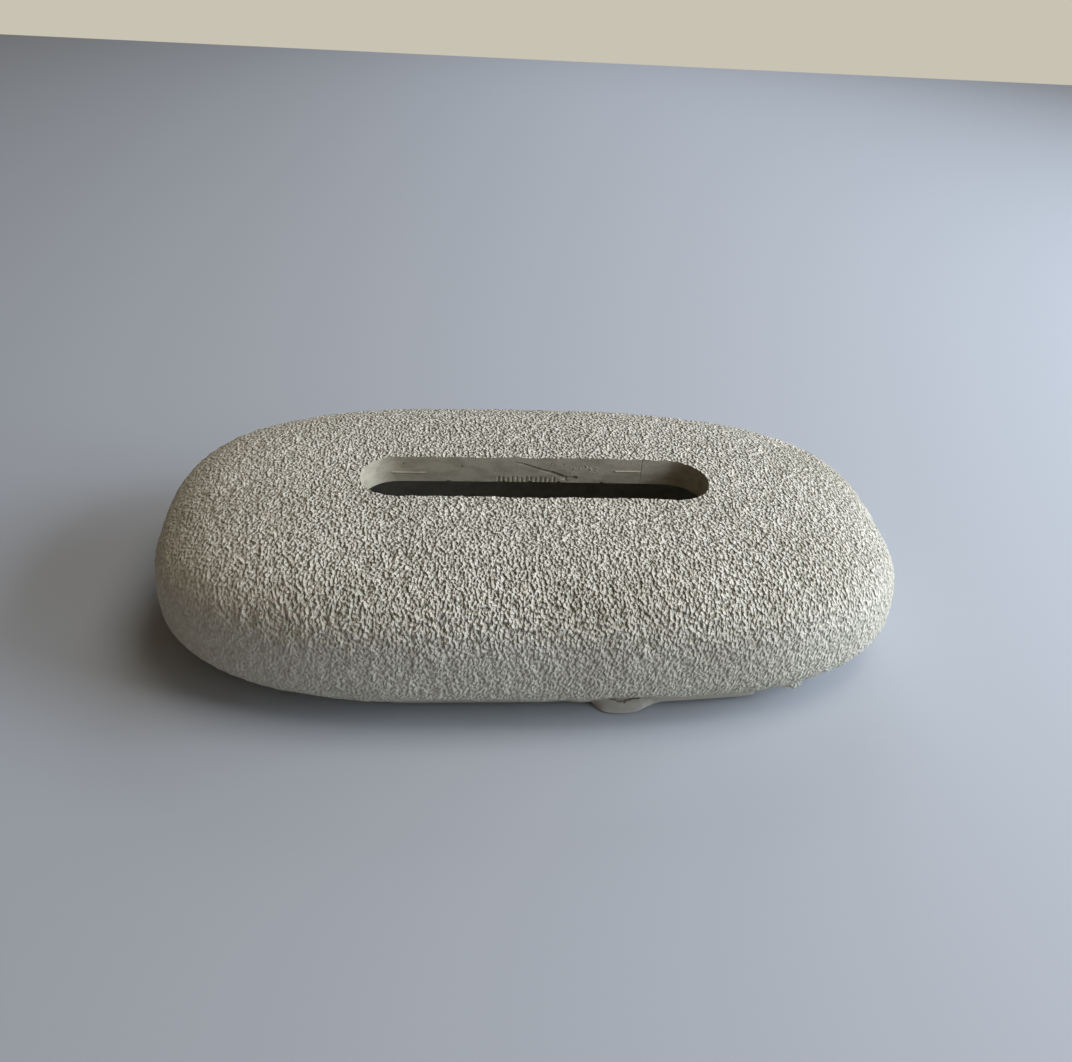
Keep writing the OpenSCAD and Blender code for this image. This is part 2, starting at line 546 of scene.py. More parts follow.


# One cast stone: stippled outside, smooth in the slot and under the rim, and paler
# # where it ran out of the mould, as painted light that lifts the tongue out of its
# # shade. It is palest in the hollow, as painted light on the shaded inside, a guess
# # that keeps the dark seen through the slot about as neutral as in the photograph.
STIPPLED = StippledCastStone("stippled_cast_stone", "B9B7A8", roughness=0.9, specular=0.25)
SMOOTH = SmoothCastStone("smooth_cast_stone", "BCB5A2", roughness=0.75, specular=0.3)
LIT_FLASH = SmoothCastStone("lit_flash_cast_stone", "C0BDB4", roughness=0.8, specular=0.25,
                        marks=replace(PULL_MARKS, colour="AAA79F"))
LIT_INSIDE = SmoothCastStone("lit_inside_cast_stone", "DBD9D0", roughness=0.85, specular=0.25,
                         marks=replace(PULL_MARKS, colour="CAC8BF"))
# Dark charcoal sheet board and moulded rubber: both dull, the rubber nearer to black.
BOARD = GrainedSheet("black_sheet_board", "2B2D30", roughness=0.6)
RUBBER = GrainedSheet("moulded_rubber", "1B1B1B", roughness=0.75,
                      scuffs=replace(SCUFFS, colour="333333"))
NICKEL = NickelPlate("nickel_plate", "C9C8C4", roughness=0.2)
PAPER = PaperFloor("studio_paper", "AFB4BB", roughness=0.85, specular=0.2)


def piece_from(shape: Shape, name: str, finishes: Sequence[Finish]) -> Piece:
    """Makes an object of a finished shape, at the origin.

    Args:
        shape: The shape, which is freed.
        name: The object's name.
        finishes: The finishes of its material slots, in order.

    Returns:
        The object, linked to the scene.
    """
    mesh = bpy.data.meshes.new(name)
    shape.to_mesh(mesh)
    shape.free()
    for finish in finishes:
        mesh.materials.append(finish.build())
    piece = bpy.data.objects.new(name, mesh)
    bpy.context.scene.collection.objects.link(piece)
    return piece


@contextmanager
def reshaped(piece: Piece) -> Iterator[Shape]:
    """Opens a piece's mesh for changes and puts the changed mesh back.

    Args:
        piece: The piece.

    Yields:
        Its shape.
    """
    shape = bmesh.new()
    shape.from_mesh(piece.data)
    yield shape
    shape.to_mesh(piece.data)
    shape.free()


def settle(piece: Piece) -> None:
    """Makes a piece's modifiers part of its mesh.

    Args:
        piece: The piece, whose modifiers go.
    """
    deps = bpy.context.evaluated_depsgraph_get()
    mesh = bpy.data.meshes.new_from_object(piece.evaluated_get(deps),
                                           preserve_all_data_layers=True,
                                           depsgraph=deps)
    piece.modifiers.clear()
    old = piece.data
    piece.data = mesh
    bpy.data.meshes.remove(old)


def join(piece: Piece, tools: Iterable[Piece], how: Join) -> None:
    """Adds other solids to a piece or cuts them out of it.

    Args:
        piece: The piece that is changed.
        tools: The other solids, which are used up.
        how: Whether they are added or cut out.
    """
    for tool in tools:
        meeting = piece.modifiers.new("meeting", "BOOLEAN")
        meeting.solver = "MANIFOLD"
        meeting.material_mode = "TRANSFER"
        meeting.operation = how.value
        meeting.object = tool
        settle(piece)
        mesh = tool.data
        bpy.data.objects.remove(tool)
        bpy.data.meshes.remove(mesh)


@dataclass(frozen=True)
class Outline:
    """A plan outline: a superellipse with its own reach and fullness at each end."""

    left: float
    right: float
    half_depth: float
    widest_x: float
    left_power: float
    right_power: float

    def inset(self, distance: float) -> "Outline":
        """The outline drawn in by a distance on every side."""
        return replace(self, left=self.left - distance, right=self.right - distance,
                       half_depth=self.half_depth - distance)

    def scaled(self, share: float) -> "Outline":
        """The outline drawn in towards the widest line's middle."""
        return replace(self, left=self.left * share, right=self.right * share,
                       half_depth=self.half_depth * share)

    def share(self, u: np.ndarray, v: np.ndarray) -> np.ndarray:
        """How far out points lie, where 1 is on the outline.

        Args:
            u: Places along X, as shares of the reach.
            v: Places along Y, as shares of the reach.

        Returns:
            The share of the outline that passes through each point.
        """
        power = np.where(u < 0, self.left_power, self.right_power)
        return (np.abs(u) ** power + np.abs(v) ** power) ** (1 / power)

    def at(self, u: np.ndarray, v: np.ndarray) -> tuple[np.ndarray, np.ndarray]:
        """Turns shares of the reach to places.

        Args:
            u: Places along X, as shares of the reach.
            v: Places along Y, as shares of the reach.

        Returns:
            X and Y in metres.
        """
        reach = np.where(u < 0, self.left, self.right)
        return self.widest_x + reach * u, self.half_depth * v


@dataclass(frozen=True)
class PebbleSkin:
    """A pebble's surface over an open rim: a crown above the widest line and a
    belly below it, each a superellipse in section.

    The top's grid reaches out to cap_share of the outline, and the share rim_rows
    of the side's rows crowds into a band over the rim, where the lip needs them.
    """

    outline: Outline
    widest_z: float
    crown_height: float
    belly_depth: float
    rim_z: float
    crown_power: float = 3.6
    belly_power: float = 2.25
    samples: int = 400
    cap_share: float = 0.86
    rim_rows: float = 0.0
    rim_band: float = 3.2 * MM

    def crown_rise(self, share: np.ndarray) -> np.ndarray:
        """Height over the widest line where the crown has a share left."""
        left = np.clip(1 - share ** self.crown_power, 0, 1)
        return self.crown_height * left ** (1 / self.crown_power)

    def rim_share(self) -> float:
        """Share of the widest outline that the rim has."""
        drop = (self.widest_z - self.rim_z) / self.belly_depth
        return (1 - drop ** self.belly_power) ** (1 / self.belly_power)

    def flank(self) -> tuple[np.ndarray, np.ndarray, np.ndarray]:
        """Samples the section from the top's middle down to the rim.

        Returns:
            The length along the section from the top's middle, the share of the
            outline and the height over the table, each from the top down.
        """
        turn = np.linspace(0, math.pi / 2, self.samples)
        share, rise = self.superellipse(turn[::-1], self.crown_power)
        drop_end = (self.widest_z - self.rim_z) / self.belly_depth
        end = math.atan2(drop_end, self.rim_share())
        low_share, drop = self.superellipse(np.linspace(0, end, self.samples)[1:],
                                            self.belly_power)
        shares = np.concatenate([share, low_share])
        heights = np.concatenate([self.crown_height * rise, -self.belly_depth * drop])
        reach = shares * self.outline.half_depth
        steps = np.hypot(np.diff(reach), np.diff(heights))
        length = np.concatenate([[0.0], np.cumsum(steps)])
        return length, shares, self.widest_z + heights

    @staticmethod
    def superellipse(turn: np.ndarray, power: float) -> tuple[np.ndarray, np.ndarray]:
        """Points of a unit superellipse, by direction.

        Args:
            turn: Directions in radians, up from the axis.
            power: The curve's fullness.

        Returns:
            Shares along and up.
        """
        cos, sin = np.cos(turn), np.sin(turn)
        size = (np.abs(cos) ** power + np.abs(sin) ** power) ** (-1 / power)
        return cos * size, sin * size

    def wrap(self, unit: np.ndarray) -> np.ndarray:
        """Wraps the points of an open unit box round the pebble.

        Args:
            unit: Points on the top and the sides of a box from -1 to 1.

        Returns:
            The points on the pebble, in metres.
        """
        corner = 1 - 2 ** (-1 / self.outline.right_power)
        u = self.cap_share * unit[:, 0] * (1 - corner * unit[:, 1] ** 2)
        v = self.cap_share * unit[:, 1] * (1 - corner * unit[:, 0] ** 2)
        share = self.outline.share(u, v)
        length, shares, heights = self.flank()
        inward = np.interp(share, shares[:self.samples], length[:self.samples])
        down = (1 - unit[:, 2]) / 2
        band = self.rim_band / length[-1] if self.rim_rows else 0.0
        rows = np.interp(down, (0, 1 - self.rim_rows, 1), (0, 1 - band, 1))
        along = inward + rows * (length[-1] - inward)
        side = down > 0
        level = np.where(side, np.interp(along, length, shares), share)
        rise = np.where(side, np.interp(along, length, heights),
                        self.widest_z + self.crown_rise(share))
        spread = np.divide(level, share, out=np.zeros_like(share), where=share > 0)
        x, y = self.outline.at(u * spread, v * spread)
        return np.stack([x, y, rise], axis=1)


def grid_box(steps: tuple[int, int, int]) -> Shape:
    """Makes an open-bottomed box from -1 to 1 with a grid on every face.

    Args:
        steps: The faces along X, Y and Z.

    Returns:
        The box.
    """
    shape = bmesh.new()
    bmesh.ops.create_cube(shape, size=2.0)
    floor = [f for f in shape.faces if f.normal.z < -0.5]
    bmesh.ops.delete(shape, geom=floor, context="FACES_ONLY")
    for axis, count in enumerate(steps):
        along = [e for e in shape.edges
                 if abs(e.verts[0].co[axis] - e.verts[1].co[axis]) > 1.0]
        bmesh.ops.subdivide_edges(shape, edges=along, cuts=count - 1,
                                  use_grid_fill=True)
    return shape


def close_rim(shape: Shape) -> list[bmesh.types.BMFace]:
    """Closes an open rim with one face, and gives that face in a list."""
    edge = [e for e in shape.edges if e.is_boundary]
    return bmesh.ops.holes_fill(shape, edges=edge, sides=0)["faces"]


def grow(shape: Shape) -> tuple[list[bmesh.types.BMVert], list[bmesh.types.BMFace]]:
    """Extrudes an open rim in place.

    Args:
        shape: The open shape.

    Returns:
        The new rim's points and the faces between the two rims.
    """
    edge = [e for e in shape.edges if e.is_boundary]
    made = bmesh.ops.extrude_edge_only(shape, edges=edge)["geom"]
    return ([g for g in made if isinstance(g, bmesh.types.BMVert)],
            [g for g in made if isinstance(g, bmesh.types.BMFace)])


def thicken(shape: Shape, way: Sequence[float]) -> None:
    """Extrudes a flat sheet to a solid.

    Args:
        shape: The sheet.
        way: How far its copy goes.
    """
    raised = bmesh.ops.extrude_face_region(shape, geom=shape.faces[:])["geom"]
    top = [g for g in raised if isinstance(g, bmesh.types.BMVert)]
    bmesh.ops.translate(shape, verts=top, vec=way)


def turn_outwards(shape: Shape) -> None:
    """Makes every face of a closed shape point outwards."""
    bmesh.ops.recalc_face_normals(shape, faces=shape.faces[:])


def round_rims(shape: Shape, width: float, segments: int) -> None:
    """Bevels the level edges of an upright solid.

    Args:
        shape: The solid.
        width: The bevel's width.
        segments: How many faces stand for its round.
    """
    sharp = math.radians(57)
    rims = [e for e in shape.edges if e.calc_face_angle(0) > sharp
            and abs(e.verts[0].co.z - e.verts[1].co.z) < width / 2]
    bmesh.ops.bevel(shape, geom=rims, offset=width, segments=segments, profile=0.5,
                    affect="EDGES", material=-1)


def get_places(piece: Piece) -> np.ndarray:
    """Reads the places of a piece's points.

    Args:
        piece: The piece.

    Returns:
        One row for each point.
    """
    places = np.empty(len(piece.data.vertices) * 3)
    piece.data.vertices.foreach_get("co", places)
    return places.reshape(-1, 3)


def set_places(piece: Piece, places: np.ndarray) -> None:
    """Moves a piece's points to new places, one row each."""
    piece.data.vertices.foreach_set("co", places.ravel())
    piece.data.update()


def bar(place: Matrix, size: Sequence[float], name: str) -> Piece:
    """Makes a straight bar of smooth stone, as a tool.

    Args:
        place: Where its middle is and how it is turned.
        size: Its length, its width and its depth.
        name: Its name.

    Returns:
        The bar.
    """
    shape = bmesh.new()
    bmesh.ops.create_cube(shape, size=1.0, matrix=place @ Matrix.Diagonal((*size, 1.0)))
    return piece_from(shape, name, [SMOOTH])


def blade(start: Sequence[float], end: Sequence[float], width: float, name: str) -> Piece:
    """Makes a thin bar that stands on its edge, to score a wall or to stand out of it.

    Args:
        start: The middle of one end.
        end: The middle of the other end.
        width: How wide it is from edge to edge.
        name: Its name.

    Returns:
        The bar.
    """
    run = Vector(end) - Vector(start)
    side = width / math.sqrt(2)
    place = (Matrix.Translation((Vector(start) + Vector(end)) / 2)
             @ run.to_track_quat("X", "Y").to_matrix().to_4x4()
             @ Matrix.Rotation(math.radians(45), 4, "X"))
    return bar(place, (run.length + width / 2, side, side), name)


def slit(start: Vector, end: Vector, into: Vector, size: Pair, name: str) -> Piece:
    """Makes a thin plate that leaves a narrow deep crack.

    Args:
        start: The middle of one end.
        end: The middle of the other end.
        into: The way that its depth runs.
        size: Its width and its depth.
        name: Its name.

    Returns:
        The plate.
    """
    run = end - start
    along = run.normalized()
    side = into.cross(along).normalized()
    axes = Matrix((along, side, along.cross(side))).transposed().to_4x4()
    return bar(Matrix.Translation((start + end) / 2) @ axes,
               (run.length + size[0] / 2, *size), name)


def pellet(middle: Sequence[float], radius: float, name: str) -> Piece:
    """Makes a small ball, to leave a pinhole or a grain.

    Args:
        middle: Its middle.
        radius: Its radius.
        name: Its name.

    Returns:
        The ball.
    """
    shape = bmesh.new()
    bmesh.ops.create_icosphere(shape, subdivisions=2, radius=radius,
                               matrix=Matrix.Translation(middle))
    return piece_from(shape, name, [SMOOTH])


def disc(radius: float, low: float, high: float, middle: Vector, name: str,
         finish: Finish, bevel: float = 0.0, sides: int = 64) -> Piece:
    """Makes an upright disc, with its edges bevelled if asked.

    Args:
        radius: Its radius.
        low: The height of its underside.
        high: The height of its top.
        middle: Where its axis stands in plan.
        name: Its name.
        finish: Its finish.
        bevel: The width of its bevelled edges.
        sides: How many sides stand for its round.

    Returns:
        The disc.
    """
    shape = bmesh.new()
    bmesh.ops.create_circle(shape, cap_ends=True, segments=sides, radius=radius,
                            matrix=Matrix.Translation((middle.x, middle.y, low)))
    thicken(shape, (0, 0, high - low))
    if bevel:
        round_rims(shape, bevel, segments=3)
    turn_outwards(shape)
    return piece_from(shape, name, [finish])


def prism(outline: Outline, low: float, high: float, name: str, finish: Finish) -> Piece:
    """Makes an upright solid on a plan outline.

    Args:
        outline: The outline.
        low: The height of its underside.
        high: The height of its top.
        name: Its name.
        finish: Its finish.

    Returns:
        The solid.
    """
    solid = disc(1.0, low, high, Vector(), name, finish, sides=192)
    x, y, z = get_places(solid).T
    share = outline.share(x, y)
    set_places(solid, np.stack([*outline.at(x / share, y / share), z], axis=1))
    return solid


def soften(piece: Piece, angle: float = 35.0) -> None:
    """Shades a piece smooth, with sharp edges past an angle and between finishes.

    Args:
        piece: The piece. If it has several finishes, the first is never sharp.
        angle: The angle in degrees.
    """
    limit = math.radians(angle)
    with reshaped(piece) as shape:
        bmesh.ops.triangulate(shape, faces=[f for f in shape.faces if len(f.verts) > 4])
        for face in shape.faces:
            face.smooth = True
        for edge in shape.edges:
            if len(edge.link_faces) != 2:
                continue
            first, second = edge.link_faces
            changes = first.material_index != second.material_index
            bare = first.material_index != 0 or len(piece.data.materials) == 1
            edge.smooth = not (changes or (bare and edge.calc_face_angle(0) > limit))


@dataclass
class BoxSizes:
    """The sizes that the pieces share, from the frame where it has them."""

    left_power: float = 2.9
    right_power: float = 3.1
    widest_offset: float = 10 * MM
    widest_rise: float = 20 * MM
    crown_height: float = 34 * MM
    belly_depth: float = 32 * MM
    rim_rows: float = 0.12
    side_wall: float = 9 * MM
    top_wall: float = 10.8 * MM
    rim_lip: float = 5 * MM
    ledge_width: float = 8 * MM
    slot_length: float = 128 * MM
    slot_width: float = 27 * MM
    slot_offset: float = 1 * MM
    board_gap: float = 0.6 * MM
    finger_hole: float = 22 * MM
    magnet_gap: float = 0.15 * MM
    boss_wall: float = 2.2 * MM
    boss_bevel: float = 1.2 * MM
    foot_gap: float = 0.2 * MM
    overrun: float = 1 * MM

    def __post_init__(self) -> None:
        """Works out the other sizes, with the overall ones from the frame."""
        low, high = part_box("cast_shell")
        board_low, board_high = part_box("base_board")
        self.rim_z = board_low[2]
        self.ledge_z = board_high[2]
        self.widest_z = self.rim_z + self.widest_rise
        self.top_z = self.widest_z + self.crown_height
        half_length = (high[0] - low[0]) / 2
        self.outline = Outline(half_length - self.widest_offset,
                               half_length + self.widest_offset,
                               (high[1] - low[1]) / 2, -self.widest_offset,
                               self.left_power, self.right_power)
        self.skin = PebbleSkin(self.outline, self.widest_z, self.crown_height,
                               self.belly_depth, self.rim_z, rim_rows=self.rim_rows)
        self.rim = self.outline.scaled(self.skin.rim_share())
        self.seat = self.rim.inset(self.rim_lip)
        self.board = self.seat.inset(self.board_gap)
        magnet_low, magnet_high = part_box("shell_magnet_front_right")
        self.pocket_radius = (magnet_high[0] - magnet_low[0]) / 2 + self.magnet_gap
        self.pocket_top = magnet_high[2]
        self.boss_radius = self.pocket_radius + self.boss_wall

    def middle_of(self, node: str) -> Vector:
        """The middle of a node in plan, at a height of zero."""
        low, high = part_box(node)
        return Vector(((low[0] + high[0]) / 2, (low[1] + high[1]) / 2, 0.0))


@dataclass
class FrontLip:
    """The smooth upright lip along the front's rim, where the mould ended, and
    the belly that runs down to it flatter than elsewhere.

    The edge and the set-back are lists of X and a distance, in millimetres. The
    starts and ends are the stretches of X where the forms fade in and out.
    """

    sizes: BoxSizes
    edge: tuple[Pair, ...] = (
        (-82.0, 56.0), (-70.6, 58.55), (-59.6, 60.2), (-48.7, 60.85), (-20.0, 60.95),
        (0.9, 61.05), (9.4, 60.6), (14.9, 61.35), (17.8, 61.0), (43.2, 61.2),
        (51.9, 60.6), (63.6, 59.65), (72.5, 58.8), (77.4, 58.0), (79.0, 56.6),
        (85.0, 55.0), (98.0, 50.4))
    set_back: tuple[Pair, ...] = (
        (-60.0, 0.0), (-45.0, 0.7), (17.0, 0.8), (24.0, 2.0), (70.0, 1.9), (78.6, 0.4),
        (80.0, 0.0))
    height: float = 1.9 * MM
    slope: float = 1.04
    softness: float = 0.8 * MM
    start: Pair = (-62 * MM, -46 * MM)
    end: Pair = (77.6 * MM, 79 * MM)
    belly_start: Pair = (-92 * MM, -78 * MM)
    belly_end: Pair = (79 * MM, 87 * MM)

    def reach(self, x: np.ndarray) -> np.ndarray:
        """How far in front of the long axis the lip's lower edge stands."""
        places, reaches = np.array(self.edge).T * MM
        return np.interp(x, places, reaches)

    @staticmethod
    def band(x: np.ndarray, start: Pair, end: Pair) -> np.ndarray:
        """A share that rises over one stretch of X and falls over another.

        Args:
            x: Places along X.
            start: Where it rises from 0 to 1.
            end: Where it falls back to 0.

        Returns:
            The share at each place.
        """
        rise = np.clip((x - start[0]) / (start[1] - start[0]), 0, 1)
        fall = np.clip((end[1] - x) / (end[1] - end[0]), 0, 1)
        return (rise * fall) ** 2 * (3 - 2 * rise * fall)

    def shape(self, places: np.ndarray) -> np.ndarray:
        """Tucks in the belly behind the lip and stands the lip upright.

        Args:
            places: The skin's points.

        Returns:
            The points with the lip.
        """
        x, y, z = places.T
        out, rise = -y, z - self.sizes.rim_z
        backs, steps = np.array(self.set_back).T * MM
        line = self.reach(x) - np.interp(x, backs, steps) + rise * self.slope
        tucked = (out + line - np.hypot(out - line, self.softness)) / 2
        front = out + (tucked - out) * self.band(x, self.belly_start, self.belly_end)
        upright = np.where(rise < self.height, np.maximum(self.reach(x), front), front)
        front = front + (upright - front) * self.band(x, self.start, self.end)
        return np.stack([x, np.where(y < 0, -front, y), z], axis=1)


@dataclass
class SlotHollow:
    """The space that the slot leaves, with the marks that its mould left in the
    back wall: seams, scored lines with a fin over them, a crease, a comb of
    ribs, pinholes, grains and chipped edges.

    Creases list X, Z and a width, pinholes X and Z, and chips X, in millimetres.
    """

    sizes: BoxSizes
    sides: int = 98
    seam_places: Pair = (-52.4 * MM, 42.2 * MM)
    seam_low: float = 44 * MM
    seam_width: float = 0.5 * MM
    seam_depth: float = 0.18 * MM
    comb_start: float = -12.2 * MM
    comb_end: float = 9.0 * MM
    comb_grooves: int = 13
    comb_low: float = 44.6 * MM
    comb_high: float = 47.3 * MM
    comb_stagger: float = 0.3 * MM
    comb_radius: float = 0.8 * MM
    comb_depth: float = 0.22 * MM
    creases: tuple[tuple[Triple, ...], ...] = (
        ((-5.8, 53.4, 0.8), (-2.6, 52.5, 1.3), (1.0, 51.2, 1.5), (4.6, 50.0, 1.6),
         (8.6, 48.9, 1.8), (11.4, 47.7, 2.2), (13.6, 46.8, 2.0), (17.6, 47.0, 1.2)),
        ((10.2, 46.9, 0.6), (12.0, 46.2, 0.8), (14.4, 45.6, 0.6)))
    crease_depth: float = 0.62
    scores: tuple[Triple, ...] = (
        (-52.1 * MM, -39.5 * MM, 48.5 * MM), (32.4 * MM, 41.9 * MM, 50.0 * MM))
    score_width: float = 0.6 * MM
    score_drop: float = 0.54 * MM
    fin_height: float = 0.2 * MM
    pinholes: tuple[Pair, ...] = (
        (20.5, 51.7), (-26.0, 51.4), (12.5, 52.6), (-47.8, 52.2), (7.6, 52.9))
    pinhole_radius: float = 0.4 * MM
    chips: tuple[float, ...] = (-10.2, -0.3, 10.9, -31.0, 27.5)
    rim_chips: tuple[float, ...] = (-35.0, -17.2, 3.0, 10.5, 22.5, 37.0)
    chip_radius: float = 0.6 * MM
    grain_count: int = 26
    grain_middle: Pair = (21.5 * MM, 49.6 * MM)
    grain_reach: Pair = (6.5 * MM, 2.2 * MM)
    grain_radius: float = 0.36 * MM
    grain_range: Pair = (0.6, 0.4)
    grain_beat: float = 2.3
    grain_sink: float = 0.3

    def build(self) -> Piece:
        """Makes the hollow as a cutting tool.

        Returns:
            The tool.
        """
        sizes = self.sizes
        hollow = disc(sizes.slot_width / 2, sizes.widest_z, sizes.top_z + 5 * sizes.overrun,
                      Vector(), "slot_hollow", SMOOTH, sides=self.sides)
        straight = (sizes.slot_length - sizes.slot_width) / 2
        places = get_places(hollow)
        places[:, 0] += sizes.slot_offset + straight * np.sign(places[:, 0])
        set_places(hollow, places)
        join(hollow, self.marks(), Join.ADD)
        join(hollow, self.fins(), Join.CUT)
        return hollow

    def groove(self, start: Pair, end: Pair, width: float, depth: float,
               name: str) -> Piece:
        """Makes the tool of one groove in the back wall.

        Args:
            start: X and Z where it starts.
            end: X and Z where it ends.
            width: Its bar's width from edge to edge.
            depth: How far it goes into the wall.
            name: The tool's name.

        Returns:
            The tool.
        """
        y = self.sizes.slot_width / 2 + depth - width / 2
        return blade((start[0], y, start[1]), (end[0], y, end[1]), width, name)

    def comb(self) -> list[Piece]:
        """Makes the tools of the comb, which are short upright discs.

        Returns:
            The tools.
        """
        y = self.sizes.slot_width / 2 + self.comb_depth - self.comb_radius
        step = (self.comb_end - self.comb_start) / (self.comb_grooves - 1)
        return [disc(self.comb_radius, self.comb_low,
                     self.comb_high - (i % 3) * self.comb_stagger,
                     Vector((self.comb_start + i * step, y, 0)), "comb", SMOOTH, sides=24)
                for i in range(self.comb_grooves)]

    def marks(self) -> list[Piece]:
        """Makes the tools of every mark that goes into the wall.

        Returns:
            The tools.
        """
        wall, top = self.sizes.slot_width / 2, self.sizes.top_z
        tools = [self.groove((x, self.seam_low), (x, top), self.seam_width,
                             self.seam_depth, "seam") for x in self.seam_places]
        tools += self.comb()
        for path in self.creases:
            for (x0, z0, w0), (x1, z1, w1) in zip(path, path[1:]):
                width = (w0 + w1) / 2 * MM
                tools.append(self.groove((x0 * MM, z0 * MM), (x1 * MM, z1 * MM), width,
                                         width * self.crease_depth, "crease"))
        for start, end, height in self.scores:
            low = height - self.score_drop
            tools.append(self.groove((start, low), (end, low), self.score_width,
                                     self.score_width / 2, "score"))
        tools += [pellet((x * MM, wall, z * MM), self.pinhole_radius, "pinhole")
                  for x, z in self.pinholes]
        for places, z in ((self.chips, top - self.sizes.top_wall), (self.rim_chips, top)):
            tools += [pellet((x * MM, wall, z), self.chip_radius, "chip") for x in places]
        return tools

    def fins(self) -> list[Piece]:
        """Makes the solids that stand out of the wall: fins and loose grains.

        Returns:
            The solids.
        """
        solids = [self.groove((start, height), (end, height), self.score_width,
                              self.score_width / 2 - self.fin_height, "fin")
                  for start, end, height in self.scores]
        wall = self.sizes.slot_width / 2
        golden_turn = math.pi * (3 - math.sqrt(5))
        least, swing = self.grain_range
        for i in range(self.grain_count):
            reach, turn = math.sqrt((i + 0.5) / self.grain_count), golden_turn * i
            x = self.grain_middle[0] + self.grain_reach[0] * reach * math.cos(turn)
            z = self.grain_middle[1] + self.grain_reach[1] * reach * math.sin(turn)
            radius = self.grain_radius * (least + swing * math.cos(self.grain_beat * i))
            solids.append(pellet((x, wall + self.grain_sink * radius, z), radius, "grain"))
        return solids


@dataclass
class MouldFlash:
    """Cement that ran out under the mould's edge: a smooth tongue at the front
    of the rim, cracked where it leaves the shell, and a small nib further right.

    The edge lists X and the distance from the long axis, and the crack lists X,
    the share of the way to the tongue's edge and a width, in millimetres. The
    tongue hangs down to its low edge where it stands out by the flare.
    """

    sizes: BoxSizes
    lip: FrontLip
    edge: tuple[Pair, ...] = (
        (18.4, 60.4), (19.5, 61.1), (20.2, 62.1), (20.8, 63.0), (22.0, 64.4),
        (23.7, 65.2), (25.8, 65.6), (28.5, 65.8), (31.3, 65.7), (34.2, 65.1),
        (36.1, 64.2), (38.1, 62.8), (40.5, 61.5), (43.5, 60.9), (46.0, 60.3))
    blunting: float = 0.5 * MM
    blunting_steps: int = 5
    low: float = 0.5 * MM
    top: float = 3.2 * MM
    sink: float = 0.4 * MM
    depth: float = 5.2 * MM
    steps: tuple[int, int] = (90, 12)
    run_power: float = 0.7
    fall_power: float = 1.1
    crack: tuple[Triple, ...] = (
        (24.4, 0.01, 0.2), (25.6, 0.07, 0.4), (26.8, 0.09, 0.3), (28.1, 0.19, 0.55),
        (29.3, 0.17, 0.35), (30.2, 0.22, 0.5), (31.1, 0.09, 0.65), (32.3, 0.1, 0.4),
        (33.2, 0.03, 0.35), (35.0, 0.04, 0.5), (36.0, 0.01, 0.2))
    crack_depth: float = 1.8 * MM
    crack_way: Triple = (0, 1, -0.25)
    flare: float = 1.2 * MM
    flare_lead: float = 0.36 * MM
    nib_middle: Triple = (88.3 * MM, -60.5 * MM, 9.6 * MM)
    nib_reach: Triple = (4.6 * MM, 1.8 * MM, 1.6 * MM)
    nib_point: Triple = (89.7 * MM, -61.5 * MM, 8.8 * MM)
    nib_point_reach: float = 1.0 * MM

    def build(self) -> list[Piece]:
        """Makes the flash.

        Returns:
            The solids that are added to the shell.
        """
        return [self.tongue(), self.lump(self.nib_middle, self.nib_reach),
                self.lump(self.nib_point, (self.nib_point_reach,) * 3)]

    def run(self, x: np.ndarray) -> np.ndarray:
        """Reads the tongue's edge, blunted a little.

        Args:
            x: Places along the front.

        Returns:
            How far in front of the long axis the edge stands at each.
        """
        places, reaches = np.array(self.edge).T * MM
        shifts = np.linspace(-self.blunting, self.blunting, self.blunting_steps)
        return sum(np.interp(x + shift, places, reaches) for shift in shifts) / len(shifts)

    def surface(self, x: np.ndarray, down: np.ndarray) -> tuple[np.ndarray, np.ndarray]:
        """The tongue's upper face.

        Args:
            x: Places along the front.
            down: Shares of the way from the lip to the tongue's edge.

        Returns:
            Y and Z at each.
        """
        root, run = self.lip.reach(x) - self.sink, self.run(x)
        hang = np.clip((run - root + self.flare_lead) / self.flare, 0, 1)
        low = self.sizes.rim_z + (self.low - self.sizes.rim_z) * hang
        y = -(root + (run - root) * down ** self.run_power)
        return y, low + (self.top - low) * (1 - down) ** self.fall_power

    def tongue(self) -> Piece:
        """Makes the tongue as a slab under the lip.

        Returns:
            The slab.
        """
        shape = bmesh.new()
        bmesh.ops.create_grid(shape, x_segments=self.steps[0], y_segments=self.steps[1],
                              size=1.0)
        thicken(shape, (0, 0, 1))
        # The tongue takes the paler cement, painted light that lifts it out of its shade.
        slab = piece_from(shape, "flash_tongue", [LIT_FLASH])
        u, v, inside = get_places(slab).T
        first, last = self.edge[0][0] * MM, self.edge[-1][0] * MM
        x = first + (last - first) * (u + 1) / 2
        y, z = self.surface(x, (1 - v) / 2)
        set_places(slab, np.stack([x, y + inside * self.depth, z], axis=1))
        with reshaped(slab) as shape:
            turn_outwards(shape)
        return slab

    def lump(self, middle: Sequence[float], reach: Sequence[float]) -> Piece:
        """Makes a rounded lump of the stippled stone.

        Args:
            middle: Its middle.
            reach: Its half sizes along X, Y and Z.

        Returns:
            The lump.
        """
        shape = bmesh.new()
        bmesh.ops.create_icosphere(shape, subdivisions=3, radius=1.0,
                                   matrix=Matrix.Translation(middle)
                                   @ Matrix.Diagonal((*reach, 1.0)))
        return piece_from(shape, "nib", [STIPPLED])

    def crack_point(self, x: float, down: float) -> Vector:
        """A point of the crack, no further back than the lip."""
        y, z = self.surface(np.array(x), np.array(down))
        return Vector((x, min(float(y), -float(self.lip.reach(np.array(x)))), float(z)))

    def crack_tools(self) -> list[Piece]:
        """Makes the tools of the crack between the tongue and the shell.

        Returns:
            The tools.
        """
        return [slit(self.crack_point(x0 * MM, down0), self.crack_point(x1 * MM, down1),
                     Vector(self.crack_way), ((w0 + w1) / 2 * MM, self.crack_depth),
                     "crack")
                for (x0, down0, w0), (x1, down1, w1) in zip(self.crack, self.crack[1:])]


